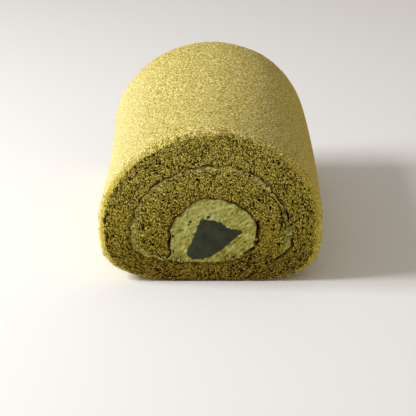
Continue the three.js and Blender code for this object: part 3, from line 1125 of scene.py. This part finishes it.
material, add = start_finish("loose_sponge_crumb")
place = add("TexCoord").outputs["Object"]
tone = add("TexNoise", scaled(place, CRUMB_TONE))
colour = set_stops(add("ValToRGB", {"Fac": tone}), CRUMB_STOPS)
# the same dry sponge, in bits too small to show a bubble
end_finish(add, {"Base Color": colour, "Roughness": 0.92, "IOR": 1.4, "Specular IOR Level": 0.2})
dress(crumbs, material)

# %% [markdown]
# ## The cream's finish
# Whipped cream with green tea is fat, air and powder. The knife smears it into ridges with drags
# between them; the pale ridges and darker green drags are partly the cream's own tone and partly
# painted highlight and painted shade. It is darker green close beside the bar, takes a brown tinge
# from the baked face, and where it has soaked into the sponge it looks like crumb. Its small pits are
# painted dark as painted shade, and it is painted darker towards the right and the foot, as painted
# shade. The ridges come from the same nodes as the relief, so that each pale streak stands on a real
# ridge.

# %% Whipped green tea cream
SMEAR_STOPS_WITH_PAINTED_LIGHT = [(0.32, "#e4e5a6"), (0.45, "#c2c170"), (0.57, "#9f9c4a"), (0.69, "#4d5018")]
BLEND = 4.5
DARKER_TONE_AND_PAINTED_SHADE = "#e0dda4"
CREAM_PAINTED_SHADE_RIGHTWARDS = {"From Max": 16 * MM, "To Max": 0.1}
CREAM_PAINTED_SHADE_FOOTWARDS = {"From Min": 34 * MM, "From Max": 12 * MM, "To Min": -0.08, "To Max": 0.07}
PIT_PAINTED_SHADE = "#414c1a"
BESIDE_BAR = (-4.0, -1.1, -1.9, 0.85, "#3d4719")
BESIDE_BAKE = (-2.0, -0.2, -1.0, 1.0, "#7d6422")
RAGGED = 0.9
CREAM_BUMP = 0.4

material, add = start_finish("whipped_green_tea_cream")
place = add("TexCoord").outputs["Object"]
pattern = add("Attribute", attribute_name="pattern_place").outputs["Vector"]
from_bar, from_bake, soak = [
    add("Attribute", attribute_name=name).outputs["Fac"]
    for name in ("from_bar", "from_bake", "soaked")
]
streak = smears(add, pattern)
# pale on ridges, dark in drags: partly the cream's tone, partly painted highlight and painted shade
smeared = set_stops(add("ValToRGB", {"Fac": streak}), SMEAR_STOPS_WITH_PAINTED_LIGHT)
blend = add("TexNoise", scaled(pattern, BLEND, Detail=2.0))
across = add("SeparateXYZ", {0: place})
# random darker tone, plus painted shade towards the right and towards the foot
for value, darker in ((across.outputs["X"], CREAM_PAINTED_SHADE_RIGHTWARDS), (across.outputs["Z"], CREAM_PAINTED_SHADE_FOOTWARDS)):
    darker = add("MapRange", {"Value": value} | darker)
    blend = add("Math", {0: blend, 1: darker}, **PLUS)
blend = add("MapRange", {"Value": blend, "From Min": 0.35, "From Max": 0.6})
smeared = add("Mix", {FACTOR: blend, FIRST: smeared, SECOND: linear(DARKER_TONE_AND_PAINTED_SHADE)}, **STAIN)
# painted shade: the pits are painted dark green inside
smeared = add("Mix", {FACTOR: pits(add, pattern), FIRST: smeared, SECOND: linear(PIT_PAINTED_SHADE)}, **COVER)
# close round the bar the cream is darker green; beside the baked face it takes a brown tinge
for away, (sway, start, end, most, tint) in ((from_bar, BESIDE_BAR), (from_bake, BESIDE_BAKE)):
    away = add("Math", {0: streak, 1: sway, 2: away}, **TIMES_PLUS)
    near = add("MapRange", {"Value": away, "From Min": start, "From Max": end, "To Max": most}, **SMOOTH)
    smeared = add("Mix", {FACTOR: near, FIRST: smeared, SECOND: linear(tint)}, **COVER)
ragged = add("TexNoise", scaled(place, RAGGED, Detail=2.0))
soak = add("Math", {0: ragged, 1: 1.2, 2: soak}, **TIMES_PLUS)
soak = add("MapRange", {"Value": soak, "From Min": 0.95, "From Max": 1.35}, **SMOOTH)
colour = add("Mix", {FACTOR: soak, FIRST: smeared, SECOND: crumb_colour(add, place)}, **COVER)
bump = add("Bump", {"Height": streak, "Distance": CREAM_BUMP * MM, "Strength": 0.4})
# fat and air: pale, softly shining where the knife has smeared it
fat = {"Roughness": 0.6, "IOR": 1.45, "Specular IOR Level": 0.35}
end_finish(add, fat | {"Base Color": colour, "Normal": bump})
dress(cream, material)
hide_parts("cream")

# %% [markdown]
# ## The bar's finish
# The bar is strong green tea, set to a firm jelly. It is dark all through and slightly cloudy.

# %% Set green tea
CLOUD = 5
TEA_STOPS = [(0.35, "#24291a"), (0.65, "#363b23")]

material, add = start_finish("set_green_tea")
place = add("TexCoord").outputs["Object"]
cloud = add("TexNoise", scaled(place, CLOUD, Detail=2.0))
tone = set_stops(add("ValToRGB", {"Fac": cloud}), TEA_STOPS)
# a smooth gel, dulled by the knife
end_finish(add, {"Base Color": tone, "Roughness": 0.6, "IOR": 1.38})
dress(bar, material)
for face in flat_ends:
    face.use_smooth = False
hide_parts("bar")

# %% [markdown]
# ## Table, window and room
# The roll stands on a plain pale table. One large window on the left lights the skin and only
# grazes the cut, which brings out the crumb. The room's own light fills the shadows.

# %% Set the table and the light
TABLE = 3000
ROOM_LIGHT = 0.45
WINDOW_SIDE = 360
WINDOW_AWAY = 960
WINDOW_LEFT = math.radians(82)
WINDOW_UP = math.radians(35)
WINDOW_POWER = 11.4

bpy.context.scene.view_settings.view_transform = "Standard"
bm = bmesh.new()
bmesh.ops.create_grid(bm, x_segments=1, y_segments=1, size=TABLE * MM)
table = add_object("table", mesh_of("table", bm))
material, add = start_finish("pale_table")
end_finish(add, {"Base Color": linear("#e8e7e7"), "Roughness": 0.6, "IOR": 1.45})
table.data.materials.append(material)

world = bpy.data.worlds.new("room")
bpy.context.scene.world = world
world.use_nodes = True
background = world.node_tree.nodes["Background"]
background.inputs["Color"].default_value = linear("#fff6ea")
background.inputs["Strength"].default_value = ROOM_LIGHT

window = bpy.data.lights.new("window", "AREA")
window.shape = "SQUARE"
window.size = WINDOW_SIDE * MM
window.energy = WINDOW_POWER
window.color = linear("#fdfeff")[:3]
level = math.cos(WINDOW_UP)
direction = Vector((-math.sin(WINDOW_LEFT) * level, -math.cos(WINDOW_LEFT) * level, math.sin(WINDOW_UP)))
light = add_object("window", window)
light.location = direction * WINDOW_AWAY * MM
light.rotation_euler = direction.to_track_quat("Z", "Y").to_euler()
print("window", WINDOW_AWAY, "mm away,", WINDOW_POWER, "W")
